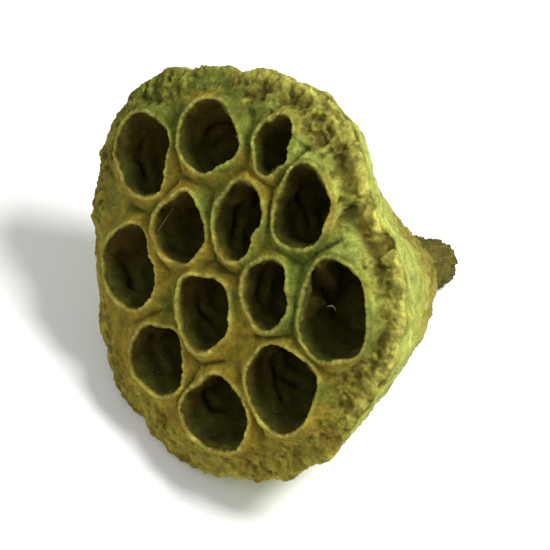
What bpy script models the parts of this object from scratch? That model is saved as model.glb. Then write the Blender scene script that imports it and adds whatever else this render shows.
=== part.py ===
"""A dried lotus seed pod, lying on its side on a flat surface.

The pod is one grown piece: a cone-shaped head whose broad seed face holds thirteen
empty seed chambers, each with a thin raised lip, and a short stub of its stem.
It is shaped in its own frame (millimetres, +Z out of the seed face, +Y towards the
side that ends uppermost) and then laid down on its rim and its stem stub.
"""

import math

import bmesh
import bpy
from mathutils import Matrix, Vector, noise

MM = 0.001

# The rim's radius every 20 degrees, counted anticlockwise from +X as the face is seen.
RIM_RADII = (32.0, 33.4, 33.2, 29.6, 32.2, 32.6, 30.9, 31.6, 34.0,
             34.3, 32.4, 30.8, 31.8, 34.2, 34.4, 32.6, 32.9, 32.8)
RIM_STEPS = 144            # points around the rim and the flank
RIM_DROP = 4.4             # the rim's edge below the seed face
RIM_SCALLOP = 1.1          # depth of the crinkles along the rim's edge
SCALLOP_PITCH = 4.2        # length of one crinkle along the edge
LOW_SIDE = 33.0            # the side it lies on has dried flat, this far from the middle of the face
MARGIN_CRINKLE = 0.6       # height of the fine crinkles across the margin
CRINKLE_PITCH = 3.0        # width of one of them
MARGIN_HOLLOW = 1.4        # depth of the pleated hollow that runs along the margin, inside the rim
PLEAT_PITCH = 4.6          # length of one pleat of it along the rim
RIM_CREST = 0.7            # how far the rim's thin edge turns up beside the hollow
PROUD_TOWARDS = math.radians(45)    # the side where hollow and edge are fullest
WEB_LEVEL = -0.4           # the tissue between the lips, below the face's nominal level
WEB_FALL = 0.9             # how far the tissue and the lips fall away towards the margin
WEB_SHARE = 0.82           # the share of the rim's radius where the sloping margin starts

NECK_DEPTH = 42.0          # from the face to where the head becomes the stem
NECK_RADIUS = 3.9
NECK_OFFSET = (3.6, -1.0)  # the head leans, so its neck is off the centre of the rim
POD_DEPTH = 49.0           # from the face to the cut end of the stem
FLANK_RIBS = 15            # long folds that run up the flank from the stem
RIB_HEIGHT = 1.3
# How far the flank's middle stands out of a straight cone, or sinks in, every 40 degrees.
FLANK_SWELLS = (2.3, 1.6, -2.6, -2.4, -2.0, -2.2, -1.2, 0.6, 1.6)

# Each seed chamber's mouth: its centre, its width and length, the way its length points and
# the way its outline is drawn out to a blunt corner, in millimetres and degrees.
CHAMBERS = (
    (-3.7, 22.2, 6.2, 9.6, 96, 80),
    (6.6, 18.4, 9.8, 13.2, 100, 130),
    (-14.4, 14.8, 10.3, 12.0, 60, 20),
    (20.6, 9.8, 13.0, 15.4, 115, 250),
    (-2.0, 8.7, 8.2, 12.8, 100, 70),
    (9.1, 3.5, 8.7, 10.6, 120, 90),
    (-23.4, 3.7, 10.4, 12.6, 120, 200),
    (-10.1, -0.1, 9.7, 10.8, 80, 230),
    (1.1, -7.2, 10.5, 11.6, 120, 55),
    (19.6, -6.4, 12.7, 13.6, 30, 180),
    (-15.0, -12.2, 10.3, 12.6, 135, 110),
    (-1.9, -19.6, 10.4, 10.9, 20, 90),
    (11.9, -18.6, 10.9, 13.0, 30, 350),
)
CORNER_SHARE = 0.05        # how much a mouth's outline swells towards its blunt corners
CHAMBER_FOCUS = 75.0       # the chambers lean in towards a point this far below the face
CHAMBER_STEPS = 18
LIP_STEPS = 22
LIP_HEIGHT = 0.9           # a lip's crest above the face
LIP_CREST = 0.5            # width of a lip's crest
LIP_FOOT = 1.7             # a lip's foot, out from the mouth

REST_FLAT = 0.4            # how much of the lowest points is worn flat where the pod lies
HUSK_GREEN = (0.30, 0.29, 0.09, 1.0)


def around(values, angle):
    """A smooth closed curve through values spaced evenly around a turn."""
    place = (angle / math.tau % 1.0) * len(values)
    first = int(place)
    t = place - first
    a, b, c, d = (values[(first + i) % len(values)] for i in (-1, 0, 1, 2))
    return b + 0.5 * t * (c - a + t * (2 * a - 5 * b + 4 * c - d + t * (3 * (b - c) + d - a)))


def on_circle(angle, radius, pitch, level=0.0):
    """Smooth noise, from about -1 to 1, along a circle, with features about a pitch long."""
    size = radius / pitch
    return 2 * noise.noise(Vector((size * math.cos(angle), size * math.sin(angle), level)))


def rim_radius(angle):
    mean = sum(RIM_RADII) / len(RIM_RADII)
    radius = around(RIM_RADII, angle) + RIM_SCALLOP * 0.5 * on_circle(angle, mean, SCALLOP_PITCH)
    return min(radius, LOW_SIDE / max(0.5, -math.sin(angle)))


def mouth_radius(chamber, angle):
    """A mouth's outline: an ellipse with three blunt corners."""
    width, length, turn, corner = chamber[2:]
    a, b = length / 2, width / 2
    along = angle - math.radians(turn)
    oval = a * b / math.hypot(b * math.cos(along), a * math.sin(along))
    return oval * (1 + CORNER_SHARE * math.cos(3 * (angle - math.radians(corner))))


def chamber_depth(chamber):
    return 9.0 + 0.42 * chamber[3]


def turned(name, profile, steps):
    """A profile of (radius, height) points, in millimetres, turned about Z as a mesh object."""
    line = bpy.data.meshes.new(name + "_profile")
    edges = [(i, i + 1) for i in range(len(profile) - 1)]
    line.from_pydata([(r, 0, z) for r, z in profile], edges, [])
    lathe = bpy.data.objects.new(name + "_lathe", line)
    bpy.context.scene.collection.objects.link(lathe)
    screw = lathe.modifiers.new("Screw", "SCREW")
    screw.steps = screw.render_steps = steps
    screw.use_merge_vertices = True
    screw.merge_threshold = 0.0001
    graph = bpy.context.evaluated_depsgraph_get()
    mesh = bpy.data.meshes.new_from_object(lathe.evaluated_get(graph))
    bpy.data.objects.remove(lathe)
    mesh.name = name
    shaped = bpy.data.objects.new(name, mesh)
    bpy.context.scene.collection.objects.link(shaped)
    return shaped


def reshape(shaped, rule):
    """Moves every point of a mesh by a rule and closes any flat end left open."""
    work = bmesh.new()
    work.from_mesh(shaped.data)
    bmesh.ops.remove_doubles(work, verts=work.verts, dist=0.0001)
    for vert in work.verts:
        vert.co = rule(vert.co)
    bmesh.ops.holes_fill(work, edges=work.edges, sides=0)
    bmesh.ops.recalc_face_normals(work, faces=work.faces)
    work.to_mesh(shaped.data)
    work.free()


def body_profile():
    """Radius as a share of the rim's, height in millimetres, from the web down to the neck."""
    web = WEB_LEVEL - WEB_FALL
    margin = [(0.4, WEB_LEVEL), (0.64, WEB_LEVEL - 0.4 * WEB_FALL), (WEB_SHARE, web),
              (0.875, web - 0.5), (0.915, -2.4), (0.95, -3.1), (0.98, -3.8)]
    edge = [(1.0, -RIM_DROP), (0.985, -RIM_DROP - 1.0)]
    top = -RIM_DROP - 2.4
    shares = (0.0, 0.1, 0.22, 0.36, 0.5, 0.64, 0.78, 0.9, 1.0)
    flank = [(1.5 + share, top + share * (-NECK_DEPTH - top)) for share in shares]
    return margin + edge + flank


def margin_form(angle, share, rim):
    """The margin's crinkles, its pleated hollow and the rim's turned-up edge, as a change of height."""
    across = max(0.0, (share - WEB_SHARE) / (1 - WEB_SHARE))       # 0 on the web, 1 at the rim
    crinkle = MARGIN_CRINKLE * across * on_circle(angle, share * rim, CRINKLE_PITCH, share)
    proud = max(0.0, math.cos(angle - PROUD_TOWARDS) + 0.4) / 1.4
    pleat = 0.7 + 0.6 * on_circle(angle, rim, PLEAT_PITCH, 3.0)
    hollow = MARGIN_HOLLOW * proud * pleat * math.sin(math.pi * min(1.0, across / 0.95) ** 1.3)
    crest = RIM_CREST * proud * max(0.0, (across - 0.85) / 0.15)
    return crinkle - hollow + crest


def body_rule(co):
    """Turns the profile's shares into the uneven cone of the head, with its folds and crinkles."""
    angle = math.atan2(co.y, co.x)
    share = math.hypot(co.x, co.y)
    rim = rim_radius(angle)
    if share <= 1.2:
        radius = share * rim
        return Vector((radius * math.cos(angle), radius * math.sin(angle),
                       co.z + margin_form(angle, share, rim)))
    down = share - 1.5
    cone = 0.955 * rim * (1 - down) + NECK_RADIUS * down
    swell = around(FLANK_SWELLS, angle) * math.sin(math.pi * down)
    drift = 1.6 * on_circle(angle, 1.5, 1.0, 2 * down)
    fold = 1 - 2 * abs(math.sin(FLANK_RIBS / 2 * angle + drift))
    uneven = 0.6 + 0.5 * on_circle(angle, 1.2, 1.0, 5.0 + 1.5 * down)
    rib = RIB_HEIGHT * 0.5 * fold * uneven * (0.35 + math.sin(math.pi * min(1.0, 0.05 + 0.75 * down)))
    wrinkle = 0.5 * on_circle(angle, rim, 3.4, 9.0) * (1 - down) ** 2
    radius = cone + swell + rib * min(1.0, cone / 12) + wrinkle
    lean_x, lean_y = NECK_OFFSET
    return Vector((radius * math.cos(angle) + lean_x * down,
                   radius * math.sin(angle) + lean_y * down, co.z))


def make_body():
    body = turned("lotus_pod", body_profile(), RIM_STEPS)
    reshape(body, body_rule)
    return body


def make_stub():
    """The stem's stub: a knot where the head ends, and a blunt cut end."""
    profile = [(0.0, -NECK_DEPTH + 5), (NECK_RADIUS, -NECK_DEPTH + 4), (NECK_RADIUS - 0.1, -NECK_DEPTH),
               (NECK_RADIUS + 0.7, -NECK_DEPTH - 1.5), (NECK_RADIUS - 0.7, -NECK_DEPTH - 3.0),
               (NECK_RADIUS - 0.2, -NECK_DEPTH - 5.5), (NECK_RADIUS - 0.2, -POD_DEPTH + 1.0),
               (NECK_RADIUS - 1.0, -POD_DEPTH), (0.0, -POD_DEPTH)]

    def knotted(co):
        angle = math.atan2(co.y, co.x)
        radius = math.hypot(co.x, co.y)
        radius += 0.35 * on_circle(angle, 3.0, 2.0, co.z / 2.5) * min(1.0, radius)
        return Vector((radius * math.cos(angle) + NECK_OFFSET[0],
                       radius * math.sin(angle) + NECK_OFFSET[1], co.z))

    stub = turned("stem_stub", profile, 28)
    reshape(stub, knotted)
    return stub


def chamber_rule(chamber):
    """Carries a unit outline to a chamber's own: share 1 is its mouth, and each 0.1 past it 1 mm."""
    x, y = chamber[:2]

    def rule(co):
        angle = math.atan2(co.y, co.x)
        share = math.hypot(co.x, co.y)
        radius = mouth_radius(chamber, angle) * min(share, 1.0) + max(share - 1.0, 0.0) * 10
        lean = 1 + min(co.z, 0.0) / CHAMBER_FOCUS
        return Vector((x * lean + radius * math.cos(angle), y * lean + radius * math.sin(angle), co.z))

    return rule


def make_lips():
    """The raised lips, as discs that the chambers are then cut out of."""
    lips = []
    for number, chamber in enumerate(CHAMBERS, 1):
        height = LIP_HEIGHT + 0.35 * noise.noise(Vector((chamber[0] / 9, chamber[1] / 9, 4.0)))
        drop = WEB_FALL * min(1.0, max(0.0, math.hypot(*chamber[:2]) - 12) / 12)
        profile = [(0.0, height - drop), (1 + LIP_CREST / 10, height - drop),
                   (1 + (LIP_CREST + 0.5) / 10, height - drop - 0.5),
                   (1 + LIP_FOOT / 10, WEB_LEVEL - drop - 0.2),
                   (1 + LIP_FOOT / 10, WEB_LEVEL - 3.0), (0.0, WEB_LEVEL - 3.0)]
        lip = turned(f"lip_{number:02d}", profile, LIP_STEPS)
        reshape(lip, chamber_rule(chamber))
        lips.append(lip)
    return lips


def make_chambers():
    """The empty seed chambers, as cutters: a straight throat that narrows to a round bottom."""
    cutters = []
    for number, chamber in enumerate(CHAMBERS, 1):
        depth = chamber_depth(chamber)
        profile = [(0.0, 3.0), (1.0, 3.0), (1.0, -0.3), (0.95, -0.28 * depth), (0.87, -0.55 * depth),
                   (0.70, -0.78 * depth), (0.42, -0.93 * depth), (0.0, -depth)]
        cutter = turned(f"chamber_{number:02d}", profile, CHAMBER_STEPS)
        reshape(cutter, chamber_rule(chamber))
        cutters.append(cutter)
    return cutters


def combine(body, operation, others, name):
    """Joins or cuts with a Boolean over a collection, and applies it."""
    group = bpy.data.collections.new(name)
    bpy.context.scene.collection.children.link(group)
    for other in others:
        bpy.context.scene.collection.objects.unlink(other)
        group.objects.link(other)
    boolean = body.modifiers.new(name, "BOOLEAN")
    boolean.operation = operation
    boolean.operand_type = "COLLECTION"
    boolean.collection = group
    boolean.solver = "EXACT"
    graph = bpy.context.evaluated_depsgraph_get()
    mesh = bpy.data.meshes.new_from_object(body.evaluated_get(graph))
    body.modifiers.clear()
    body.data = mesh
    for other in others:
        bpy.data.objects.remove(other)
    bpy.data.collections.remove(group)


def lay_down(body):
    """Tips the pod on to its rim and its stub, centred over the origin with its lowest points at Z 0."""
    rim_y, rim_z = min((v.co.y, v.co.z) for v in body.data.vertices if v.co.z > -RIM_DROP - 1.5)
    stub = [v.co for v in body.data.vertices if v.co.z < -NECK_DEPTH]
    tilt = min(math.atan2(co.y - rim_y, rim_z - co.z) for co in stub)
    body.data.transform(Matrix.Rotation(math.pi / 2 - tilt, 4, "X"))
    corners = [v.co for v in body.data.vertices]
    low = [min(c[axis] for c in corners) for axis in range(3)]
    high = [max(c[axis] for c in corners) for axis in range(3)]
    centre = Vector(((low[0] + high[0]) / 2, (low[1] + high[1]) / 2, low[2] + REST_FLAT))
    body.data.transform(Matrix.Scale(MM, 4) @ Matrix.Translation(-centre))


def wear_flat(body):
    """Takes off what lies below the surface, which leaves a small flat at each low point."""
    work = bmesh.new()
    bmesh.ops.create_cube(work, size=0.2)
    bmesh.ops.translate(work, verts=work.verts, vec=(0, 0, -0.1))
    mesh = bpy.data.meshes.new("surface")
    work.to_mesh(mesh)
    work.free()
    surface = bpy.data.objects.new("surface", mesh)
    bpy.context.scene.collection.objects.link(surface)
    combine(body, "DIFFERENCE", [surface], "surface_cut")


def husk_material():
    material = bpy.data.materials.new("husk")
    material.use_nodes = True
    shader = material.node_tree.nodes["Principled BSDF"]
    shader.inputs["Base Color"].default_value = HUSK_GREEN
    shader.inputs["Roughness"].default_value = 0.85
    shader.inputs["Metallic"].default_value = 0.0
    return material


def main():
    for old in list(bpy.data.objects):
        bpy.data.objects.remove(old)
    body = make_body()
    combine(body, "UNION", make_lips() + [make_stub()], "grown_on")
    combine(body, "DIFFERENCE", make_chambers(), "seed_chambers")
    lay_down(body)
    wear_flat(body)
    body.data.materials.clear()
    body.data.materials.append(husk_material())
    body.data.shade_smooth()
    body.data.set_sharp_from_angle(angle=math.radians(50))
    parts = bpy.data.collections.new("dried_lotus_pod")
    bpy.context.scene.collection.children.link(parts)
    bpy.context.scene.collection.objects.unlink(body)
    parts.objects.link(body)


main()
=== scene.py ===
"""A dried lotus pod lying on its side, finished around its solid.

The husk keeps the solid's form and adds what a dry pod shows from close by: lips with
thin pale crests, grooves between them, a wrinkled and pitted margin, a frilled rim,
a folded flank and seed chambers with folded walls and threads left inside. Lengths in
the pod's own frame are millimetres, from the middle of its seed face.
"""

import math

import bmesh
import bpy
import numpy as np
from bpy.props import FloatProperty, FloatVectorProperty, PointerProperty
from mathutils import Matrix, Vector, noise
from mathutils.bvhtree import BVHTree


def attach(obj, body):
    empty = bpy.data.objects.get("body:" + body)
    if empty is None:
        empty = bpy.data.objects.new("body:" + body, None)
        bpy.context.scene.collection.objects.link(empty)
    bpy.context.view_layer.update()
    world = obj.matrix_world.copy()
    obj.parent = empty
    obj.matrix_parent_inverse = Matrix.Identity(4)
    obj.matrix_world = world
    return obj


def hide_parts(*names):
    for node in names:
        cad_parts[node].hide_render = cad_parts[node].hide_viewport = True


bl_info = {
    "name": "Dried Lotus Pod",
    "version": (1, 0, 0),
    "blender": (4, 5, 0),
    "location": "3D View > Sidebar > Lotus Pod",
    "description": "Finishes a dried lotus seed pod and sets it on a pale stage",
    "category": "Add Mesh",
}

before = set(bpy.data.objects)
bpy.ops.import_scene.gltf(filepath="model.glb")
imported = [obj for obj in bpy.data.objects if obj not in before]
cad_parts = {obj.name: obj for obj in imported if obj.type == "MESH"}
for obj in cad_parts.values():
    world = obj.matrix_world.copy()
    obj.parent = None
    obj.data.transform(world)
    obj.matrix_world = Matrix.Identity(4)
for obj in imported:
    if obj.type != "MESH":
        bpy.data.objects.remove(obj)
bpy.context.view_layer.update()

MM = 0.001
FAR = 1000.0
NODE = "lotus_pod"
BODY = "root"

# Where the pod's own frame lies: +Z out of its seed face, tipped about X.
FACE_CENTRE = (1.022, -13.355, 30.172)
AXIS_RISE = math.radians(33.455)
VIEW_AZIMUTH = math.radians(53.2)
VIEW_ELEVATION = math.radians(55.0)

RIM_RADII = (32.0, 33.4, 33.2, 29.6, 32.2, 32.6, 30.9, 31.6, 34.0,
             34.3, 32.4, 30.8, 31.8, 34.2, 34.4, 32.6, 32.9, 32.8)
RIM_DROP = 4.4
RIM_CREST = 0.7
LOW_SIDE = 33.0
PROUD_TOWARDS = math.radians(45)
COLLAR_TOWARDS = math.radians(62)
NECK_DEPTH = 42.0
NECK_OFFSET = (3.6, -1.0)

# Each seed chamber's mouth: centre, width, length, and the ways its length and a corner point.
CHAMBERS = (
    (-3.7, 22.2, 6.2, 9.6, 96, 80),
    (6.6, 18.4, 9.8, 13.2, 100, 130),
    (-14.4, 14.8, 10.3, 12.0, 60, 20),
    (20.6, 9.8, 13.0, 15.4, 115, 250),
    (-2.0, 8.7, 8.2, 12.8, 100, 70),
    (9.1, 3.5, 8.7, 10.6, 120, 90),
    (-23.4, 3.7, 10.4, 12.6, 120, 200),
    (-10.1, -0.1, 9.7, 10.8, 80, 230),
    (1.1, -7.2, 10.5, 11.6, 120, 55),
    (19.6, -6.4, 12.7, 13.6, 30, 180),
    (-15.0, -12.2, 10.3, 12.6, 135, 110),
    (-1.9, -19.6, 10.4, 10.9, 20, 90),
    (11.9, -18.6, 10.9, 13.0, 30, 350),
)
CORNER_SHARE = 0.05
CHAMBER_FOCUS = 75.0
# A chamber is this deep, and this much deeper for each millimetre of its mouth's length.
LEAST_DEPTH = 9.0
DEPTH_BY_LENGTH = 0.42
# The way across the seed face in which a chamber's wall turns from brown to green: the brown is painted
# shade and the green is painted light, for the walls on this side of a chamber face the key light.
LIGHT_SIDE_WAY = (0.66, -0.75)
# How a chamber narrows: shares of its depth, and of its mouth's radius there.
WALL_DEPTHS = (0.0, 0.28, 0.55, 0.78, 0.93, 1.0)
WALL_SHARES = (1.0, 0.95, 0.87, 0.70, 0.42, 0.0)

# What is seen inside the chambers, as millimetres across and up the view from the middle of
# the face: the lines of the folds in their walls, flaps of inner skin that cling to the walls,
# as how pale each is and its corners, and loose threads, as how pale each is and its line from
# the end that holds on to the wall.
WALL_FOLDS = (
    ((-10.9, -9.8), (-10.4, -12.7), (-9.5, -15.6)),
    ((7.9, -12.4), (8.0, -15.6), (8.6, -18.0), (9.0, -19.7)),
    ((8.0, -15.8), (9.8, -16.6), (11.2, -17.6)),
    ((4.8, -6.6), (6.8, -6.0), (8.9, -5.2)),
    ((6.1, -0.8), (6.0, -4.4)),
    ((-2.4, -17.0), (-2.5, -19.3), (-1.5, -21.2), (0.2, -21.4), (1.4, -19.3)),
    ((-3.7, -3.5), (-3.4, -6.0), (-1.3, -7.7)),
    ((-12.6, 19.4), (-12.6, 17.2), (-11.8, 14.9)),
    ((-15.3, 2.7), (-14.5, 0.2), (-14.1, -2.3)),
    ((11.5, 11.4), (12.6, 9.5), (13.2, 7.6)),
    ((-1.7, 21.5), (-0.2, 22.6)),
    ((2.9, 10.7), (2.4, 7.6), (1.4, 4.1)),
    ((14.0, -0.2), (14.6, -2.1), (16.3, -3.9)),
)
FLAPS = (
    (1.0, ((11.0, -0.9), (12.4, -1.6), (14.6, -3.6), (16.0, -5.3), (14.2, -6.5), (11.0, -8.2))),
    (0.45, ((14.7, 1.0), (17.3, 0.9), (17.9, -1.4), (16.9, -3.6), (15.5, -1.4))),
)
THREADS = (
    (0.04, ((-10.3, 5.7), (-8.7, 8.0), (-7.3, 10.1))),
    (0.01, ((20.6, -1.4), (19.4, -1.4), (18.3, -1.8))),
    (1.0, ((16.0, -5.2), (16.7, -5.2), (17.2, -5.9))),
    (0.12, ((-10.2, -15.3), (-9.7, -15.8), (-9.2, -15.5))),
    (0.08, ((7.6, -20.6), (8.2, -21.3), (9.3, -21.2))),
)
# Where the noise that bends a thread is read for X, Y and Z, so that the three differ.
BEND_SHIFTS = ((0.0, 0.0, 0.0), (17.3, 0.0, 0.0), (0.0, 31.7, 0.0))


def pod_to_world():
    """The matrix from the pod's own frame, in millimetres, to the scene, in metres."""
    place = Matrix.Translation(Vector(FACE_CENTRE))
    return Matrix.Scale(MM, 4) @ place @ Matrix.Rotation(math.pi / 2 - AXIS_RISE, 4, "X")


def view_axes(azimuth, elevation):
    """The directions to the right, up and back towards the eye of someone who looks from there."""
    back = Vector((math.sin(azimuth) * math.cos(elevation),
                   -math.cos(azimuth) * math.cos(elevation), math.sin(elevation)))
    right = Vector((math.cos(azimuth), math.sin(azimuth), 0.0))
    return right, back.cross(right), back


def seen_places(mesh, line):
    """The places on a mesh seen along a line in the view."""
    right, up, back = view_axes(VIEW_AZIMUTH, VIEW_ELEVATION)
    work = bmesh.new()
    work.from_mesh(mesh)
    tree = BVHTree.FromBMesh(work)
    work.free()
    places = []
    for across, above in line:
        start = Vector(FACE_CENTRE) + right * across + up * above + back * 100
        place = tree.ray_cast(start * MM, -back)[0]
        if place is None:
            raise RuntimeError(f"no husk is seen at {across}, {above}")
        places.append(place)
    return places


def beside(place, start, end, lift):
    """The place that the view shows as far from a place as end is from start. It is lifted to the
    eye, but stands no further out of the seed face than the place."""
    right, up, back = view_axes(VIEW_AZIMUTH, VIEW_ELEVATION)
    outward = pod_to_world().to_3x3().col[2].normalized()
    moved = place + (right * (end[0] - start[0]) + up * (end[1] - start[1]) + back * lift) * MM
    rise = max(0.0, (moved - place).dot(outward))
    return moved - back * (rise / back.dot(outward))


def distance_to_line(points, line):
    """Each point's distance from a line of straight stretches."""
    nearest = np.full(len(points), FAR)
    for start, end in zip(line, line[1:]):
        span = end - start
        along = np.clip((points - start) @ span / (span @ span), 0, 1)
        gap = np.linalg.norm(points - start - along[:, None] * span, axis=1)
        nearest = np.minimum(nearest, gap)
    return nearest


def inside_corners(places, corners):
    """How far each place in the view is inside a convex outline given clockwise, in millimetres."""
    depth = np.full(len(places), FAR)
    for start, end in zip(corners, corners[1:] + corners[:1]):
        way_x, way_y = end[0] - start[0], end[1] - start[1]
        turned = (places[:, 1] - start[1]) * way_x - (places[:, 0] - start[0]) * way_y
        depth = np.minimum(depth, -turned / math.hypot(way_x, way_y))
    return depth


def flap_zones(coords):
    """How far inside a flap of inner skin the view shows each point, and how pale that flap is."""
    right, up, _ = view_axes(VIEW_AZIMUTH, VIEW_ELEVATION)
    seen = (coords / MM - FACE_CENTRE) @ np.array((right, up)).T
    inside = np.full(len(coords), -FAR)
    paleness = np.zeros(len(coords))
    for pale, corners in FLAPS:
        depth = inside_corners(seen, corners)
        paleness[depth > inside] = pale
        inside = np.maximum(inside, depth)
    return inside, paleness


def proud_side(angles):
    """How full the margin's hollow and the rim's turned-up edge are at each angle, from 0 to 1."""
    return np.maximum(0.0, np.cos(angles - PROUD_TOWARDS) + 0.4) / 1.4


def step_up(low, high, values):
    """A smooth step from 0 at low to 1 at high."""
    t = np.clip((values - low) / (high - low), 0.0, 1.0)
    return t * t * (3 - 2 * t)


def ridge(values, width):
    """A soft ridge, 1 where the values are 0."""
    return np.exp(-(values / width) ** 2)


def crease(values, width):
    """A sharp line, 1 where the values are 0."""
    return np.exp(-np.abs(values) / width)


def wave(points, size, seed=0.0):
    """Smooth noise from about -1 to 1 at each point, with features about a size long."""
    places = (points / size + seed).tolist()
    return 1.7 * np.array([noise.noise(place) for place in places])


def rim_radius(angles):
    """The rim's radius at each angle: a smooth closed curve through RIM_RADII."""
    values = np.array(RIM_RADII)
    place = (angles / math.tau % 1.0) * len(values)
    first = np.floor(place).astype(int)
    t = place - first
    a, b, c, d = (values[(first + i) % len(values)] for i in (-1, 0, 1, 2))
    radius = b + 0.5 * t * (c - a + t * (2 * a - 5 * b + 4 * c - d + t * (3 * (b - c) + d - a)))
    return np.minimum(radius, LOW_SIDE / np.maximum(0.5, -np.sin(angles)))


def mouth_radius(chamber, angles):
    """A mouth's outline: an ellipse with three blunt corners."""
    width, length, turn, corner = chamber[2:]
    a, b = length / 2, width / 2
    along = angles - math.radians(turn)
    oval = a * b / np.hypot(b * np.cos(along), a * np.sin(along))
    return oval * (1 + CORNER_SHARE * np.cos(3 * (angles - math.radians(corner))))


def mouth_warp(number, angles):
    """How far a mouth's edge strays outwards from its oval, in millimetres."""
    turn = 2.4 * number
    return (0.22 * np.cos(4 * angles + turn) + 0.15 * np.cos(5 * angles - 1.7 * turn)
            + 0.07 * np.cos(7 * angles + 2.9 * turn) + 0.03 * np.cos(17 * angles + turn))


class PodZones:
    """Where each point of the husk lies: how far from the mouths, and on which part of the pod."""

    def __init__(self, points, normals):
        x, y, z = points.T
        self.points = points
        self.angle = np.arctan2(y, x)
        self.share = np.hypot(x, y) / rim_radius(self.angle)
        count = len(points)
        self.edge = np.full(count, 50.0)
        self.next_edge = np.full(count, 50.0)
        self.owner = np.zeros(count, int)
        self.mouth_angle = np.zeros(count)
        self.past_wall = np.full(count, 50.0)
        lean = 1 + np.minimum(z, 0) / CHAMBER_FOCUS
        for number, chamber in enumerate(CHAMBERS):
            dx, dy = x - chamber[0] * lean, y - chamber[1] * lean
            angles = np.arctan2(dy, dx)
            mouth = mouth_radius(chamber, angles)
            edge = np.hypot(dx, dy) - mouth
            floor = LEAST_DEPTH + DEPTH_BY_LENGTH * chamber[3]
            narrowed = np.interp(-z / floor, WALL_DEPTHS, WALL_SHARES)
            self.past_wall = np.minimum(self.past_wall, np.hypot(dx, dy) - mouth * narrowed)
            nearer = edge < self.edge
            self.next_edge = np.where(nearer, self.edge, np.minimum(self.next_edge, edge))
            self.edge = np.where(nearer, edge, self.edge)
            self.owner[nearer] = number
            self.mouth_angle = np.where(nearer, angles, self.mouth_angle)
        within = (self.edge < 0.35) & (z < 1.1) & (z > -17.0) & (self.past_wall < 1.1)
        self.chamber = within * step_up(0.34, 0.05, self.edge) * step_up(-1.0, 0.2, -z)
        self.depth = within * np.maximum(0.0, -z)
        self.top = step_up(-0.1, 0.35, normals[:, 2]) * (1 - self.chamber)
        self.inset = (1 - self.share) * rim_radius(self.angle)
        self.proud = proud_side(self.angle)
        self.above_rim = z + RIM_DROP - RIM_CREST * self.proud
        self.rim = (1 - self.chamber) * ridge(self.above_rim, 0.7) * step_up(0.88, 0.96, self.share)
        below = step_up(RIM_DROP - 0.5, RIM_DROP + 0.7, -z)
        self.flank = below * (1 - self.chamber) * step_up(0.45, 0.0, normals[:, 2])
        self.down = np.clip((-z - RIM_DROP) / (NECK_DEPTH - RIM_DROP), 0, 1.3)


def along_fibres(zones):
    """Coordinates that stretch along the way the fibres run: up the flank and the walls, and
    outwards across the face."""
    x, y, z = zones.points.T
    neck_x, neck_y = NECK_OFFSET
    down = np.clip(zones.down, 0, 1)
    around = np.arctan2(y - neck_y * down, x - neck_x * down)
    flank = np.stack([26 * np.cos(around), 26 * np.sin(around), 0.16 * z], 1)
    face = np.stack([26 * np.cos(zones.angle), 26 * np.sin(zones.angle), 0.25 * np.hypot(x, y)], 1)
    wall = np.stack([5 * np.cos(zones.mouth_angle) + 13 * zones.owner,
                     5 * np.sin(zones.mouth_angle), 0.2 * z], 1)
    grain = face * (1 - zones.flank)[:, None] + flank * zones.flank[:, None]
    return grain * (1 - zones.chamber)[:, None] + wall * zones.chamber[:, None]


def warped(zones, points):
    """The points with each mouth's edge strayed from its smooth oval."""
    stray = np.zeros(len(points))
    for number in range(len(CHAMBERS)):
        own = zones.owner == number
        stray[own] = mouth_warp(number, zones.mouth_angle[own])
    stray *= ridge(zones.edge, 1.7) * step_up(-9.0, -3.0, points[:, 2]) * step_up(1.0, 0.9, zones.share)
    moved = points.copy()
    moved[:, 0] += stray * np.cos(zones.mouth_angle)
    moved[:, 1] += stray * np.sin(zones.mouth_angle)
    return moved


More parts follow.
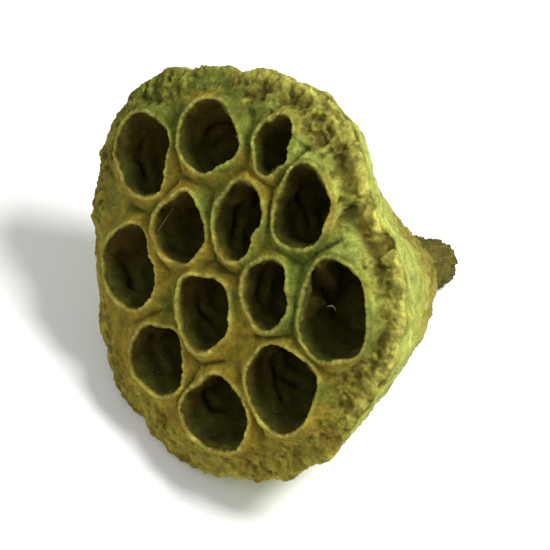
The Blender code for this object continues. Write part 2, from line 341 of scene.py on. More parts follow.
def husk_relief(zones, grain, folded, flaps, settings):
    """How far each point of the husk stands out, in millimetres, and the masks that colour it."""
    points = zones.points
    lumps = wave(points, 2.4, 3.1)
    crumbs = wave(points, 1.0, 7.7)
    specks = wave(points, 0.55, 9.9)
    soft = wave(points, 6.0, 1.3)
    broad = wave(points, 13.0, 5.9)
    bent = grain + 0.45 * np.stack([lumps, soft, crumbs], 1)
    furrows = 1 - 2.3 * np.abs(wave(bent, 1.9, 2.2))
    fine_furrows = 1 - 2.3 * np.abs(wave(bent, 0.95, 6.2))
    folds = 1 - 2.0 * np.abs(wave(bent, 4.6, 5.5))
    frill = wave(bent * (1, 1, 0), 2.8, 8.8)
    crust = 1 - 2.4 * np.abs(wave(points, 2.7, 31.0))

    top = zones.top
    meeting = zones.next_edge - zones.edge
    ragged = np.clip(0.8 + 0.35 * wave(points, 3.1, 11.0) + 0.12 * specks, 0.15, 1.4)
    crest = top * ridge(zones.edge - 0.42, 0.28) * ragged
    lip = top * step_up(0.0, 0.5, zones.edge) * step_up(2.3, 1.1, zones.edge)
    seam = top * crease(meeting, 0.40) * step_up(3.6, 2.2, zones.edge) * step_up(0.3, 0.8, zones.edge)
    seam *= np.clip(0.65 + 0.9 * soft, 0.05, 1.2)
    hollow = top * step_up(1.5, 2.4, zones.edge) * step_up(3.0, 1.4, meeting)
    hollow *= step_up(0.90, 0.80, zones.share)

    relief = settings.lip_crest / MM * crest
    relief += settings.lip_swell / MM * lip * step_up(0.2, 1.4, meeting)
    relief -= settings.groove_depth / MM * (seam + 0.35 * hollow * np.clip(0.6 + crumbs, 0, 1.3))
    outer = top * step_up(0.74, 0.88, zones.share) * step_up(1.0, 2.2, zones.edge)
    facing = np.cos(zones.angle - COLLAR_TOWARDS)
    full = step_up(0.35, 0.75, facing + 0.08 * broad)
    collar = top * full * step_up(4.8, 3.6, zones.inset) * step_up(1.2, 2.0, zones.edge)
    slope = top * step_up(0.7, 1.3, zones.edge) * step_up(0.62, 0.78, zones.share + 0.05 * soft)
    # The slopes are strongest on the side towards the key light, where their pale green is painted
    # light.
    slope *= (1 - collar) * (0.08 + 0.92 * step_up(0.50, 0.88, facing))
    rough = np.clip(0.6 + 0.4 * broad, 0.35, 1.1) * (1 - 0.3 * full)
    comb = step_up(6.5, 3.5, zones.inset)
    pleats = wave(bent * (1, 1, 0.4), 3.6, 12.0)
    creases = crease(wave(bent * (1, 1, 0.5), 2.0, 15.0), 0.14) * np.clip(0.8 + broad, 0.2, 1.2)
    creases *= 0.25 + 0.75 * step_up(0.60, 0.90, facing)
    bumpy = 0.14 * crust + 0.20 * lumps + 0.18 * crumbs + 0.12 * specks
    bumpy += (0.2 + 0.5 * comb) * (0.40 * furrows + 0.24 * fine_furrows)
    folded_rim = 0.34 * furrows + 0.12 * lumps + 0.30 * pleats - 0.55 * creases
    relief += settings.margin_relief / MM * (outer * (1 - collar) * rough * bumpy + collar * folded_rim)
    valley = top * ridge(zones.inset - 3.8, 1.0) * step_up(0.8, 1.9, zones.edge)
    valley *= (0.2 + 0.8 * full) * np.clip(0.6 + 0.7 * pleats, 0.1, 1.2)
    relief -= settings.margin_hollow / MM * valley
    pits = step_up(0.32, 0.70, wave(points, 1.15, 21.0)) * np.clip(0.45 + broad, 0, 1)
    relief -= 0.4 * settings.margin_relief / MM * pits * np.maximum(outer * (1 - collar), 0.2 * top)
    crumbly = step_up(0.70, 0.84, zones.share) * top * full * step_up(0.9, 1.8, zones.edge)
    crumbly *= step_up(-0.75, 0.10, wave(points, 5.0, 43.0))
    torn = crumbly * step_up(0.02, 0.50, wave(points * (1, 1, 0.7), 1.35, 41.0))
    netted = crumbly * ridge(wave(points, 1.7, 47.0), 0.20)
    relief += settings.margin_relief / MM * (0.30 * netted - 0.65 * torn)
    relief += settings.rim_frill / MM * zones.rim * (0.5 * zones.proud + 0.35 * frill + 0.06 * crumbs)
    under = ridge(zones.above_rim + 2.1, 1.0) * zones.flank * (1 - 0.75 * zones.proud)
    relief -= settings.rim_frill / MM * under

    upper = step_up(0.5, 0.0, zones.down)
    flank = 0.5 * folds * (1 - 0.6 * upper) + (0.42 * furrows + 0.18 * fine_furrows) * (1 - 0.4 * upper)
    flank += 0.08 * upper * crust + 0.10 * crumbs + 0.05 * specks
    relief += settings.flank_fold / MM * zones.flank * flank
    wall = 0.5 * wave(grain * (1, 1, 0.6), 1.9, 14.0) + 0.8 * wave(points, 4.2, 17.0) + 0.1 * crumbs
    relief += settings.wall_rib / MM * zones.chamber * wall
    uneven = np.clip(0.75 + 0.6 * lumps, 0.2, 1.3)
    # Painted shade along the folds in the chamber walls, where the wall is also creased inwards.
    slit = zones.chamber * ridge(folded + 0.25 * crumbs, 0.36) * uneven
    swollen = 0.7 * ridge(folded - 1.5 - 0.4 * soft, 0.9) * uneven
    relief += settings.wall_fold / MM * zones.chamber * (swollen - 0.9 * ridge(folded, 0.45) * uneven)
    flap_inside, flap_paleness = flaps
    clinging = zones.chamber * step_up(-0.35, 0.45, flap_inside + 0.35 * crumbs)
    relief += 0.8 * settings.wall_fold / MM * clinging
    relief += top * (0.05 * crumbs + 0.045 * specks)

    raised = 0.5 * bumpy * outer * (1 - collar) + 0.55 * flank * zones.flank
    raised += 0.45 * folded_rim * collar + 0.25 * (crumbs + specks) + 0.45 * netted
    x, y = points[:, 0], points[:, 1]
    lean = 1 + np.minimum(points[:, 2], 0) / CHAMBER_FOCUS
    centres = np.array([chamber[:2] for chamber in CHAMBERS])[zones.owner] * lean[:, None]
    # How far each point lies towards the lit side of its chamber: the wall gets painted light there and
    # painted shade on the other side.
    towards_light_side = LIGHT_SIDE_WAY[0] * (x - centres[:, 0]) + LIGHT_SIDE_WAY[1] * (y - centres[:, 1])
    masks = {
        "crest": np.clip(0.9 * crest + ridge(zones.above_rim + 0.1, 0.55) * zones.rim
                         * (0.35 + 0.75 * full), 0, 1),
        # Painted shade in the margin's hollow inside the rim.
        "valley": np.clip(1.1 * valley, 0, 1),
        "groove": np.clip(1.1 * seam + 0.32 * hollow * np.clip(0.6 + crumbs, 0, 1.2), 0, 1),
        "margin": outer * (1 - collar),
        "collar": collar,
        "slope": np.maximum(slope * np.clip(0.75 + 0.45 * lumps, 0, 1), 0.7 * netted) * (1 - 0.8 * torn),
        "flank": zones.flank,
        "raised": np.clip(0.5 + raised, 0, 1),
        # Brown in the pits and torn spots, and painted shade along the collar's creases and in the
        # bottoms of the margin's furrows.
        "pits": np.clip(pits * np.maximum(outer * (1 - collar), 0.4 * zones.flank)
                        + 0.75 * collar * step_up(0.35, 0.9, creases) + 0.9 * torn
                        + 0.5 * comb * outer * (1 - collar) * step_up(0.0, -1.0, furrows), 0, 1),
        "chamber": zones.chamber,
        # Painted light: the chamber walls on the side towards the key light turn from the shaded brown
        # to the lit green.
        "damp": zones.chamber * step_up(-2.5, 3.0, towards_light_side + 1.2 * lumps),
        "slit": slit * (1 - clinging),
        "flap": clinging * flap_paleness * np.clip(0.9 + 0.3 * lumps, 0, 1),
        # The upper flank's pale green: partly the tissue's own colour, partly painted light for the lit
        # band below the rim.
        "rimward": zones.flank * step_up(0.60, 0.10, zones.down + 0.08 * soft),
        "stub": step_up(0.90, 1.0, zones.down),
        "aged": zones.flank * step_up(0.25, 0.85, zones.down + 0.10 * folds),
    }
    return relief, masks


def copy_of_solid(name):
    """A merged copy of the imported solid, which itself stays as it is."""
    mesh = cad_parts[NODE].data.copy()
    mesh.name = name
    work = bmesh.new()
    work.from_mesh(mesh)
    bmesh.ops.remove_doubles(work, verts=work.verts, dist=0.00001)
    work.to_mesh(mesh)
    work.free()
    mesh.materials.clear()
    piece = bpy.data.objects.new(name, mesh)
    bpy.context.scene.collection.objects.link(piece)
    return piece


def remeshed(piece, size):
    """Gives a piece an even mesh of closed quads."""
    remesh = piece.modifiers.new("Even mesh", "REMESH")
    remesh.mode = "VOXEL"
    remesh.voxel_size = size
    graph = bpy.context.evaluated_depsgraph_get()
    mesh = bpy.data.meshes.new_from_object(piece.evaluated_get(graph))
    piece.modifiers.clear()
    old = piece.data
    piece.data = mesh
    bpy.data.meshes.remove(old)


def refined(piece):
    """Rounds the solid's facets away, and makes the faces of the seed face and the rim finer."""
    to_pod = pod_to_world().inverted()
    work = bmesh.new()
    work.from_mesh(piece.data)
    smooth_all(work, 3)
    fine = [vert for vert in work.verts if in_fine_zone(to_pod @ vert.co)]
    chosen = set(fine)
    edges = [edge for edge in work.edges if edge.verts[0] in chosen and edge.verts[1] in chosen]
    bmesh.ops.subdivide_edges(work, edges=edges, cuts=1, use_grid_fill=True)
    smooth_all(work, 1)
    work.to_mesh(piece.data)
    work.free()


def in_fine_zone(place):
    """Whether a place in the pod's frame is on the seed face, a mouth's edge or the rim."""
    outer = math.hypot(place.x, place.y) > 27.0
    return place.z > (-RIM_DROP - 1.6 if outer else -1.3)


def smooth_all(work, times):
    for _ in range(times):
        bmesh.ops.smooth_vert(work, verts=work.verts, factor=0.5, use_axis_x=True,
                              use_axis_y=True, use_axis_z=True)


def vertex_values(items, name, width):
    values = np.empty(len(items) * width, np.float32)
    items.foreach_get(name, values)
    return values.reshape(-1, width).astype(float)


def store(mesh, name, values):
    """Keeps a value or a vector for each point, for the material to read."""
    vector = values.ndim == 2
    attribute = mesh.attributes.new(name, "FLOAT_VECTOR" if vector else "FLOAT", "POINT")
    attribute.data.foreach_set("vector" if vector else "value", values.astype(np.float32).ravel())


def new_piece(name, work):
    """Makes a smooth piece of the husk from a bmesh, which is then freed."""
    mesh = bpy.data.meshes.new(name)
    work.to_mesh(mesh)
    work.free()
    mesh.shade_smooth()
    piece = bpy.data.objects.new(name, mesh)
    bpy.context.scene.collection.objects.link(piece)
    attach(piece, BODY)
    return piece


def smooth_line(line, steps):
    """A smooth line of places through the given ones."""
    padded = [2 * line[0] - line[1]] + line + [2 * line[-1] - line[-2]]
    places = [line[0]]
    for a, b, c, d in zip(padded, padded[1:], padded[2:], padded[3:]):
        for step in range(1, steps + 1):
            t = step / steps
            bend = t * (2 * a - 5 * b + 4 * c - d + t * (3 * (b - c) + d - a))
            places.append(b + 0.5 * t * (c - a + bend))
    return places


def add_thread(work, line, radius, paleness):
    """Adds a thin round thread along a line of places."""
    places = smooth_line(line, 6)
    older = set(work.verts)
    made = bmesh.ops.create_circle(work, cap_ends=True, segments=6, radius=radius)
    turn = (places[1] - places[0]).to_track_quat("Z", "Y").to_matrix()
    bmesh.ops.rotate(work, verts=made["verts"], cent=(0, 0, 0), matrix=turn)
    bmesh.ops.translate(work, verts=made["verts"], vec=places[0])
    face = made["verts"][0].link_faces[0]
    for place in places[1:]:
        bend = 0.5 * radius * Vector([noise.noise(place * 900 + Vector(shift)) for shift in BEND_SHIFTS])
        face = bmesh.ops.extrude_discrete_faces(work, faces=[face])["faces"][0]
        bmesh.ops.translate(work, verts=face.verts, vec=place + bend - face.calc_center_median())
    layer = work.verts.layers.float["pale"]
    for vert in work.verts:
        if vert not in older:
            vert[layer] = paleness


# Materials

def new_group(name, inputs, outputs):
    """A shader node group with its sockets, given as names, types and the inputs' defaults."""
    group = bpy.data.node_groups.new(name, "ShaderNodeTree")
    for label, kind, default in inputs:
        socket = group.interface.new_socket(label, in_out="INPUT", socket_type=kind)
        if default is not None:
            socket.default_value = default
    for label, kind in outputs:
        group.interface.new_socket(label, in_out="OUTPUT", socket_type=kind)
    return group, group.nodes.new("NodeGroupInput"), group.nodes.new("NodeGroupOutput")


class Wiring:
    """Short ways to add the nodes that these materials use."""

    def __init__(self, tree):
        self.tree = tree

    def put(self, kind, links=None, **settings):
        node = self.tree.nodes.new(kind)
        for name, value in settings.items():
            setattr(node, name, value)
        for name, source in (links or {}).items():
            if isinstance(source, bpy.types.NodeSocket):
                self.tree.links.new(source, node.inputs[name])
            else:
                node.inputs[name].default_value = source
        return node

    def attribute(self, name, output="Fac"):
        return self.put("ShaderNodeAttribute", attribute_name=name).outputs[output]

    def noise(self, vector, scale, detail=2.0, roughness=0.5):
        node = self.put("ShaderNodeTexNoise", {"Vector": vector, "Scale": scale, "Detail": detail,
                                               "Roughness": roughness})
        return node.outputs["Fac"]

    def ramp(self, value, low, high, to_low=0.0, to_high=1.0):
        node = self.put("ShaderNodeMapRange", {"Value": value, "From Min": low, "From Max": high,
                                               "To Min": to_low, "To Max": to_high})
        return node.outputs["Result"]

    def math(self, operation, first, second, clamp=False):
        node = self.put("ShaderNodeMath", {0: first, 1: second}, operation=operation, use_clamp=clamp)
        return node.outputs[0]

    def mix(self, factor, first, second, blend="MIX"):
        node = self.put("ShaderNodeMix", data_type="RGBA", blend_type=blend)
        for index, source in ((0, factor), (6, first), (7, second)):
            if isinstance(source, bpy.types.NodeSocket):
                self.tree.links.new(source, node.inputs[index])
            else:
                node.inputs[index].default_value = source
        return node.outputs[2]

    def group(self, group, links):
        node = self.put("ShaderNodeGroup", node_tree=group)
        for name, source in links.items():
            if isinstance(source, bpy.types.NodeSocket):
                self.tree.links.new(source, node.inputs[name])
            else:
                node.inputs[name].default_value = source
        return node


def mottle_group():
    """Uneven dry tissue: blotches and specks that lighten and darken a colour."""
    name = "Dry mottle"
    if name in bpy.data.node_groups:
        return bpy.data.node_groups[name]
    group, given, result = new_group(
        name,
        [("Color", "NodeSocketColor", None), ("Vector", "NodeSocketVector", None),
         ("Blotch Scale", "NodeSocketFloat", 400.0), ("Speck Scale", "NodeSocketFloat", 1500.0),
         ("Strength", "NodeSocketFloat", 0.5)],
        [("Color", "NodeSocketColor"), ("Speck", "NodeSocketFloat")])
    wire = Wiring(group)
    blotch = wire.noise(given.outputs["Vector"], given.outputs["Blotch Scale"], 3.0)
    speck = wire.noise(given.outputs["Vector"], given.outputs["Speck Scale"], 3.0, 0.6)
    dark = wire.mix(wire.ramp(blotch, 0.35, 0.68), (0.52, 0.50, 0.42, 1), (1.28, 1.28, 1.25, 1))
    grainy = wire.mix(wire.ramp(speck, 0.33, 0.68), (0.62, 0.60, 0.52, 1), (1.32, 1.34, 1.30, 1))
    both = wire.mix(1.0, dark, grainy, "MULTIPLY")
    tinted = wire.mix(given.outputs["Strength"], (1, 1, 1, 1), both)
    out = wire.mix(1.0, given.outputs["Color"], tinted, "MULTIPLY")
    group.links.new(out, result.inputs["Color"])
    group.links.new(speck, result.inputs["Speck"])
    return group


def fibre_group():
    """Dry fibres: fine streaks along the grain, as a height and as a mask of pale strands."""
    name = "Dry fibres"
    if name in bpy.data.node_groups:
        return bpy.data.node_groups[name]
    group, given, result = new_group(
        name,
        [("Grain", "NodeSocketVector", None), ("Scale", "NodeSocketFloat", 1.5),
         ("Crumb Vector", "NodeSocketVector", None), ("Crumb Scale", "NodeSocketFloat", 2200.0)],
        [("Height", "NodeSocketFloat"), ("Strands", "NodeSocketFloat")])
    wire = Wiring(group)
    streak = wire.noise(given.outputs["Grain"], given.outputs["Scale"], 4.0, 0.62)
    crumb = wire.noise(given.outputs["Crumb Vector"], given.outputs["Crumb Scale"], 3.0, 0.65)
    height = wire.math("ADD", wire.math("MULTIPLY", streak, 0.6), wire.math("MULTIPLY", crumb, 0.4))
    strands = wire.ramp(streak, 0.52, 0.70)
    group.links.new(height, result.inputs["Height"])
    group.links.new(strands, result.inputs["Strands"])
    return group


def husk_material(settings):
    """Moss-dyed dry tissue: ochre and green over the face, dark seams, straw on the crests, brown in the
    pits and painted shade in the creases, furrows and margin's hollow, a pale green that is partly
    painted light on the upper flank and the lips' slopes, and dim chamber walls with painted shade in
    brown and painted light in green."""
    material = bpy.data.materials.new("Dry husk")
    material.use_nodes = True
    tree = material.node_tree
    shader = tree.nodes["Principled BSDF"]
    wire = Wiring(tree)
    place = wire.put("ShaderNodeTexCoord").outputs["Object"]
    grain = wire.attribute("grain", "Vector")
    crest, groove, valley, margin, collar, slope, flank = (
        wire.attribute(name) for name in ("crest", "groove", "valley", "margin", "collar", "slope",
                                          "flank"))
    raised, pits, chamber, damp, rimward, stub, aged = (
        wire.attribute(name) for name in ("raised", "pits", "chamber", "damp", "rimward", "stub",
                                          "aged"))

    def colour(name):
        return tuple(getattr(settings, name)) + (1.0,)

    regions = wire.noise(place, 110.0, 3.0, 0.55)
    ripe = wire.math("ADD", regions, wire.attribute("ripeness"))
    base = wire.mix(wire.ramp(ripe, 0.44, 0.60), colour("moss"), colour("ochre"))
    lower_flank = wire.math("SUBTRACT", flank, wire.math("MULTIPLY", rimward, 0.8), True)
    patches = wire.noise(place, 300.0, 4.0, 0.62)
    weathered = wire.math("ADD", margin, lower_flank, True)
    worn = wire.math("MULTIPLY", wire.ramp(patches, 0.50, 0.60), weathered)
    base = wire.mix(wire.math("MULTIPLY", worn, 0.6), base, colour("bark"))
    speckled = wire.ramp(wire.noise(place, 900.0, 2.0, 0.6), 0.54, 0.62)
    base = wire.mix(wire.math("MULTIPLY", speckled, wire.math("MULTIPLY", margin, 0.65)), base,
                    colour("groove_green"))
    base = wire.mix(wire.math("MULTIPLY", aged, 0.6), base, colour("bark"))
    base = wire.mix(wire.math("MULTIPLY", collar, 0.85), base, colour("collar"))
    # Painted shade: the margin's hollow darkened with groove green.
    base = wire.mix(wire.math("MULTIPLY", valley, 0.6), base, colour("groove_green"))
    # Pale green on the upper flank and the lips' outer slopes: partly the tissue's own colour, partly
    # painted light, strongest on the slopes towards the key light.
    bright = wire.math("ADD", wire.math("MULTIPLY", rimward, 0.85),
                       wire.math("MULTIPLY", slope, 0.7), True)
    base = wire.mix(bright, base, colour("pale_and_lit_green"))
    light_parts = wire.math("ADD", wire.math("MULTIPLY", wire.math("ADD", margin, flank, True), 0.6),
                            wire.math("MULTIPLY", collar, 0.25), True)
    pale = wire.math("MULTIPLY", wire.ramp(raised, 0.48, 0.85), light_parts)
    base = wire.mix(pale, base, colour("straw_green"))
    base = wire.mix(wire.math("MULTIPLY", groove, 0.9, True), base, colour("groove_green"))
    # Pit brown: partly the pits' own brown, partly painted shade in the creases and furrows.
    base = wire.mix(wire.math("MULTIPLY", pits, 0.75, True), base, colour("pit_brown"))
    base = wire.mix(wire.math("MULTIPLY", crest, 0.8, True), base, colour("straw"))
    base = wire.mix(wire.math("MULTIPLY", stub, 0.85), base, colour("stub"))
    # Chamber walls: painted shade in brown, painted light in green on the side towards the key light,
    # and painted shade along the folds.
    wall = wire.mix(damp, colour("chamber_brown"), colour("chamber_green"))
    wall = wire.mix(wire.attribute("slit"), wall, colour("fold_dark"))
    wall = wire.mix(wire.attribute("flap"), wall, colour("flap"))
    base = wire.mix(chamber, base, wall)
    mottled = wire.group(mottle_group(), {"Color": base, "Vector": place, "Blotch Scale": 420.0,
                                          "Speck Scale": 2000.0, "Strength": 0.7})
    fibres = wire.group(fibre_group(), {"Grain": grain, "Scale": 1.9, "Crumb Vector": place,
                                        "Crumb Scale": 3200.0})
    strands = wire.math("MULTIPLY", fibres.outputs["Strands"], wire.math("MULTIPLY", flank, 0.35))
    final = wire.mix(strands, mottled.outputs["Color"], colour("straw"))
    tree.links.new(final, shader.inputs["Base Color"])
    rough = wire.ramp(mottled.outputs["Speck"], 0.3, 0.7, 0.75, 0.95)
    tree.links.new(rough, shader.inputs["Roughness"])
    shader.inputs["Specular IOR Level"].default_value = 0.08
    bump = wire.put("ShaderNodeBump", {"Height": fibres.outputs["Height"], "Strength": 1.0,
                                       "Distance": settings.fibre_bump})
    tree.links.new(bump.outputs["Normal"], shader.inputs["Normal"])
    return material


def thread_material(settings):
    """Dry threads, from dim brown to pale, as each one's points say."""
    material = bpy.data.materials.new("Loose threads")
    material.use_nodes = True
    tree = material.node_tree
    shader = tree.nodes["Principled BSDF"]
    wire = Wiring(tree)
    place = wire.put("ShaderNodeTexCoord").outputs["Object"]
    main = wire.mix(wire.attribute("pale"), tuple(settings.dim) + (1.0,), tuple(settings.pale) + (1.0,))
    mottled = wire.group(mottle_group(), {"Color": main, "Vector": place,
                                          "Blotch Scale": 700.0, "Speck Scale": 2600.0,
                                          "Strength": 0.6})
    fibres = wire.group(fibre_group(), {"Grain": place, "Scale": 1500.0, "Crumb Vector": place,
                                        "Crumb Scale": 3400.0})
    tree.links.new(mottled.outputs["Color"], shader.inputs["Base Color"])
    shader.inputs["Roughness"].default_value = 0.8
    shader.inputs["Specular IOR Level"].default_value = 0.2
    bump = wire.put("ShaderNodeBump", {"Height": fibres.outputs["Height"], "Strength": 0.7,
                                       "Distance": settings.fibre_bump})
    tree.links.new(bump.outputs["Normal"], shader.inputs["Normal"])
    return material


def floor_material(settings):
    material = bpy.data.materials.new("Pale floor")
    material.use_nodes = True
    shader = material.node_tree.nodes["Principled BSDF"]
    shader.inputs["Base Color"].default_value = tuple(settings.floor) + (1.0,)
    shader.inputs["Roughness"].default_value = 0.9
    shader.inputs["Specular IOR Level"].default_value = 0.2
    return material


# Settings

def length(label, text, millimetres, most):
    return FloatProperty(name=label, description=text, default=millimetres * MM, min=0.0,
                         max=most * MM, unit="LENGTH", precision=6)


def colour_of(label, text, red, green, blue):
    return FloatVectorProperty(name=label, description=text, default=(red, green, blue), size=3,
                               min=0.0, max=1.0, subtype="COLOR")


class HuskSettings(bpy.types.PropertyGroup):
    fineness: length("Mesh fineness", "Size of the husk's faces, halved on its seed face", 0.63, 2.0)
    lip_crest: length("Lip crest", "Height of the thin crest round each mouth", 0.22, 2.0)
    lip_swell: length("Lip swell", "How far the lips swell between mouth and groove", 0.22, 2.0)
    groove_depth: length("Groove depth", "Depth of the seams between the lips", 0.55, 2.0)
    margin_relief: length("Margin relief", "Height of the furrows on the margin", 0.75, 3.0)
    margin_hollow: length("Margin hollow", "Depth of the pleated hollow inside the rim", 0.5, 3.0)
    rim_frill: length("Rim frill", "Height of the frill along the rim's edge", 0.4, 2.0)
    flank_fold: length("Flank folds", "Height of the fine folds on the flank", 0.6, 2.0)
    wall_rib: length("Wall ribs", "Height of the waves on the chambers' walls", 0.5, 2.0)
    wall_fold: length("Wall folds", "Depth of the folds in the chambers' walls", 0.7, 2.0)
    fibre_bump: length("Fibre bump", "Height of the finest fibres", 0.16, 1.0)
    moss: colour_of("Moss", "Green tissue", 0.108, 0.136, 0.018)
    ochre: colour_of("Ochre", "Yellow tissue", 0.262, 0.186, 0.020)
    straw: colour_of("Straw", "Thin crests and pale strands", 0.500, 0.470, 0.105)
    straw_green: colour_of("Straw green", "Raised parts of the margin", 0.290, 0.280, 0.042)
    # Partly the tissue's own pale green, partly painted light on the upper flank and on the slopes
    # towards the key light.
    pale_and_lit_green: colour_of("Young green", "Lips' outer slopes and upper flank", 0.440, 0.500, 0.110)
    collar: colour_of("Collar", "Pleated collar inside the rim", 0.145, 0.112, 0.015)
    stub: colour_of("Stub", "Stub of the stem", 0.080, 0.072, 0.016)
    # Also the painted shade in the margin's hollow.
    groove_green: colour_of("Groove green", "Seams between the lips", 0.040, 0.052, 0.007)
    bark: colour_of("Bark", "Brown worn patches", 0.195, 0.122, 0.020)
    # Brown of the pits, also used as painted shade in the creases and furrows.
    pit_brown: colour_of("Pit brown", "Pits and furrows", 0.060, 0.043, 0.007)
    chamber_brown: colour_of("Chamber brown", "Chamber walls away from the light", 0.060, 0.044, 0.006)
    # Painted shade in the folds of the chamber walls.
    fold_dark: colour_of("Fold dark", "Folds in the chamber walls", 0.014, 0.011, 0.003)
    chamber_green: colour_of("Chamber green", "Chamber walls towards the light", 0.058, 0.057, 0.008)
    flap: colour_of("Flap", "Flaps of inner skin on the walls", 0.165, 0.135, 0.030)


class ThreadSettings(bpy.types.PropertyGroup):
    width: length("Width", "Thickness of the loose threads", 0.28, 1.0)
    lift: length("Lift", "How far the threads stand off the wall", 0.8, 5.0)
    fibre_bump: length("Fibre bump", "Height of the finest fibres", 0.1, 1.0)
    dim: colour_of("Dim", "The darkest threads", 0.048, 0.042, 0.010)
    pale: colour_of("Pale", "The palest threads", 0.560, 0.520, 0.360)


class StageSettings(bpy.types.PropertyGroup):
    floor: colour_of("Floor", "Pale floor", 0.86, 0.86, 0.85)
    floor_size: length("Floor size", "Width of the floor", 4000.0, 20000.0)
    key_power: FloatProperty(name="Key light", description="Power of the soft key light",
                             default=9.5, min=0.0)
    fill_power: FloatProperty(name="Fill light", description="Power of the soft light by the camera",
                              default=1.2, min=0.0)
    sky: FloatProperty(name="Sky light", description="Strength of the even light all round",
                       default=0.50, min=0.0)
    lens: FloatProperty(name="Lens", description="Focal length", default=400.0, min=20.0,
                        unit="CAMERA")
    azimuth: FloatProperty(name="Azimuth", description="Way round the pod to the camera",
                           default=VIEW_AZIMUTH, subtype="ANGLE")
    elevation: FloatProperty(name="Elevation", description="Height of the camera over the horizon",
                             default=VIEW_ELEVATION, subtype="ANGLE")
    fill: FloatProperty(name="Fill", description="Share of the picture's height that the pod takes",
                        default=0.76, min=0.1, max=1.0)


# Operators

class LOTUS_OT_husk(bpy.types.Operator):
    """Builds the finished husk from the pod's solid"""
    bl_idname = "lotus.husk"
    bl_label = "Husk"

    def execute(self, context):
        settings = context.scene.lotus_husk
        husk = copy_of_solid("husk_skin")
        remeshed(husk, settings.fineness)
        refined(husk)
        mesh = husk.data
        to_world = np.array(pod_to_world())
        to_pod = np.linalg.inv(to_world)
        coords = vertex_values(mesh.vertices, "co", 3)
        normals = vertex_values(mesh.vertex_normals, "vector", 3)
        points = coords @ to_pod[:3, :3].T + to_pod[:3, 3]
        zones = PodZones(points, normals @ to_pod[:3, :3].T * MM)
        grain = along_fibres(zones)
        folded = np.full(len(points), FAR)
        for fold in WALL_FOLDS:
            line = np.array(seen_places(mesh, fold)) @ to_pod[:3, :3].T + to_pod[:3, 3]
            folded = np.minimum(folded, distance_to_line(points, line))
        relief, masks = husk_relief(zones, grain, folded, flap_zones(coords), settings)
        clear = step_up(0.0, 0.8, coords[:, 2] / MM)
        strayed = warped(zones, points) @ to_world[:3, :3].T + to_world[:3, 3]
        moved = strayed + normals * (relief * clear * MM)[:, None]
        moved[:, 2] = np.maximum(moved[:, 2], 0.0)
        mesh.vertices.foreach_set("co", moved.astype(np.float32).ravel())
        mesh.update()
        store(mesh, "grain", grain)
        for name, values in masks.items():
            store(mesh, name, values)
        ripeness = 0.20 * step_up(12.0, -16.0, points[:, 1] + 0.15 * points[:, 0]) - 0.04
        ripeness += 0.12 * masks["flank"] * step_up(0.05, 0.4, zones.down)
        store(mesh, "ripeness", ripeness)
        mesh.shade_smooth()
        mesh.materials.append(husk_material(settings))
        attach(husk, BODY)
        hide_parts(NODE)
        return {"FINISHED"}


class LOTUS_OT_threads(bpy.types.Operator):
    """Adds the loose threads left in the chambers"""
    bl_idname = "lotus.threads"
    bl_label = "Threads"

    def execute(self, context):
        settings = context.scene.lotus_threads
        walls = bpy.data.objects["husk_skin"].data
        work = bmesh.new()
        work.verts.layers.float.new("pale")
        for paleness, line in THREADS:
            held, = seen_places(walls, line[:1])
            free = [beside(held, line[0], place, settings.lift / MM) for place in line[1:]]
            add_thread(work, [held] + free, settings.width / 2, paleness)
        bmesh.ops.recalc_face_normals(work, faces=work.faces)
        piece = new_piece("loose_threads", work)
        soft = piece.modifiers.new("Soft form", "SUBSURF")
        soft.levels = soft.render_levels = 1
        piece.data.materials.append(thread_material(settings))
        return {"FINISHED"}


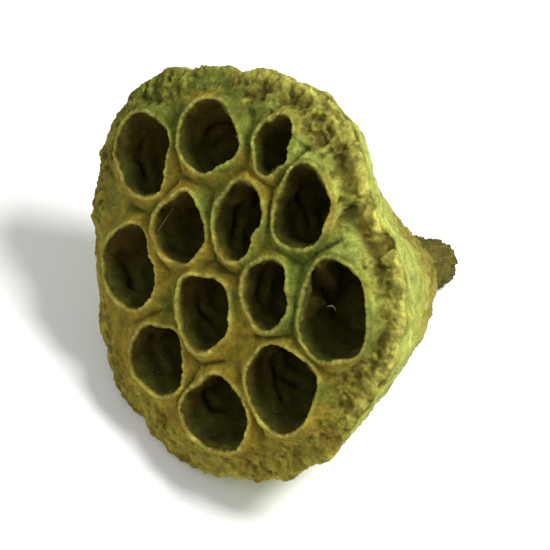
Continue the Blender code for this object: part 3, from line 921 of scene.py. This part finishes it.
class LOTUS_OT_stage(bpy.types.Operator):
    """Sets the pod on a pale floor, with soft light and the camera"""
    bl_idname = "lotus.stage"
    bl_label = "Stage"

    def execute(self, context):
        settings = context.scene.lotus_stage
        self.make_floor(context, settings)
        right, up, back = view_axes(settings.azimuth, settings.elevation)
        target, span = self.framing(back, right, up)
        self.make_camera(context, settings, target, span, (right, up, back))
        self.make_lights(context, settings, target, (right, up, back))
        return {"FINISHED"}

    @staticmethod
    def make_floor(context, settings):
        work = bmesh.new()
        bmesh.ops.create_grid(work, x_segments=1, y_segments=1, size=settings.floor_size / 2)
        mesh = bpy.data.meshes.new("floor")
        work.to_mesh(mesh)
        work.free()
        mesh.materials.append(floor_material(settings))
        floor = bpy.data.objects.new("floor", mesh)
        context.scene.collection.objects.link(floor)

    @staticmethod
    def framing(back, right, up):
        """The middle of the pod as the camera sees it, and how large it looks."""
        corners = [v.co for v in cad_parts[NODE].data.vertices]
        spans = []
        for axis in (right, up, back):
            along = [axis.dot(co) for co in corners]
            spans.append((min(along), max(along)))
        target = sum(((low + high) / 2 * axis for (low, high), axis in zip(spans, (right, up, back))),
                     Vector())
        return target, max(high - low for low, high in spans[:2])

    @staticmethod
    def make_camera(context, settings, target, span, axes):
        camera = bpy.data.cameras.new("camera")
        camera.lens = settings.lens
        camera.sensor_width = 36.0
        distance = span / settings.fill * settings.lens / camera.sensor_width
        camera.clip_start = 0.01
        camera.clip_end = 50.0
        holder = bpy.data.objects.new("camera", camera)
        turn = Matrix(axes).transposed().to_4x4()
        holder.matrix_world = Matrix.Translation(target + axes[2] * distance) @ turn
        context.scene.collection.objects.link(holder)
        context.scene.camera = holder

    @staticmethod
    def make_lights(context, settings, target, axes):
        right, up, back = axes
        for name, power, size, way in (
                ("key", settings.key_power, 0.26, 0.56 * right + 0.44 * up + 0.72 * back),
                ("fill", settings.fill_power, 0.50, -0.35 * right + 0.10 * up + 0.93 * back)):
            light = bpy.data.lights.new(name, "AREA")
            light.shape = "DISK"
            light.size = size
            light.energy = power
            holder = bpy.data.objects.new(name, light)
            way.normalize()
            holder.matrix_world = (Matrix.Translation(target + way * 0.9)
                                   @ way.to_track_quat("Z", "Y").to_matrix().to_4x4())
            context.scene.collection.objects.link(holder)
        world = bpy.data.worlds.new("studio")
        world.use_nodes = True
        backdrop = world.node_tree.nodes["Background"]
        backdrop.inputs["Color"].default_value = (1.0, 1.0, 1.0, 1.0)
        backdrop.inputs["Strength"].default_value = settings.sky
        context.scene.world = world
        context.scene.view_settings.view_transform = "Standard"


class LOTUS_PT_panel(bpy.types.Panel):
    """Lists the steps that build the lotus pod"""
    bl_label = "Lotus Pod"
    bl_idname = "LOTUS_PT_panel"
    bl_space_type = "VIEW_3D"
    bl_region_type = "UI"
    bl_category = "Lotus Pod"

    def draw(self, context):
        scene = context.scene
        for operator, group in ((LOTUS_OT_husk, scene.lotus_husk),
                                (LOTUS_OT_threads, scene.lotus_threads),
                                (LOTUS_OT_stage, scene.lotus_stage)):
            box = self.layout.box()
            box.operator(operator.bl_idname)
            for name in group.__annotations__:
                box.prop(group, name)


GROUPS = {"lotus_husk": HuskSettings, "lotus_threads": ThreadSettings, "lotus_stage": StageSettings}
CLASSES = (HuskSettings, ThreadSettings, StageSettings, LOTUS_OT_husk, LOTUS_OT_threads,
           LOTUS_OT_stage, LOTUS_PT_panel)


def register():
    for cls in CLASSES:
        bpy.utils.register_class(cls)
    for name, group in GROUPS.items():
        setattr(bpy.types.Scene, name, PointerProperty(type=group))


def unregister():
    for name in GROUPS:
        delattr(bpy.types.Scene, name)
    for cls in reversed(CLASSES):
        bpy.utils.unregister_class(cls)


def main():
    register()
    bpy.ops.lotus.husk()
    bpy.ops.lotus.threads()
    bpy.ops.lotus.stage()
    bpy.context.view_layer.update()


if __name__ == "__main__":
    main()
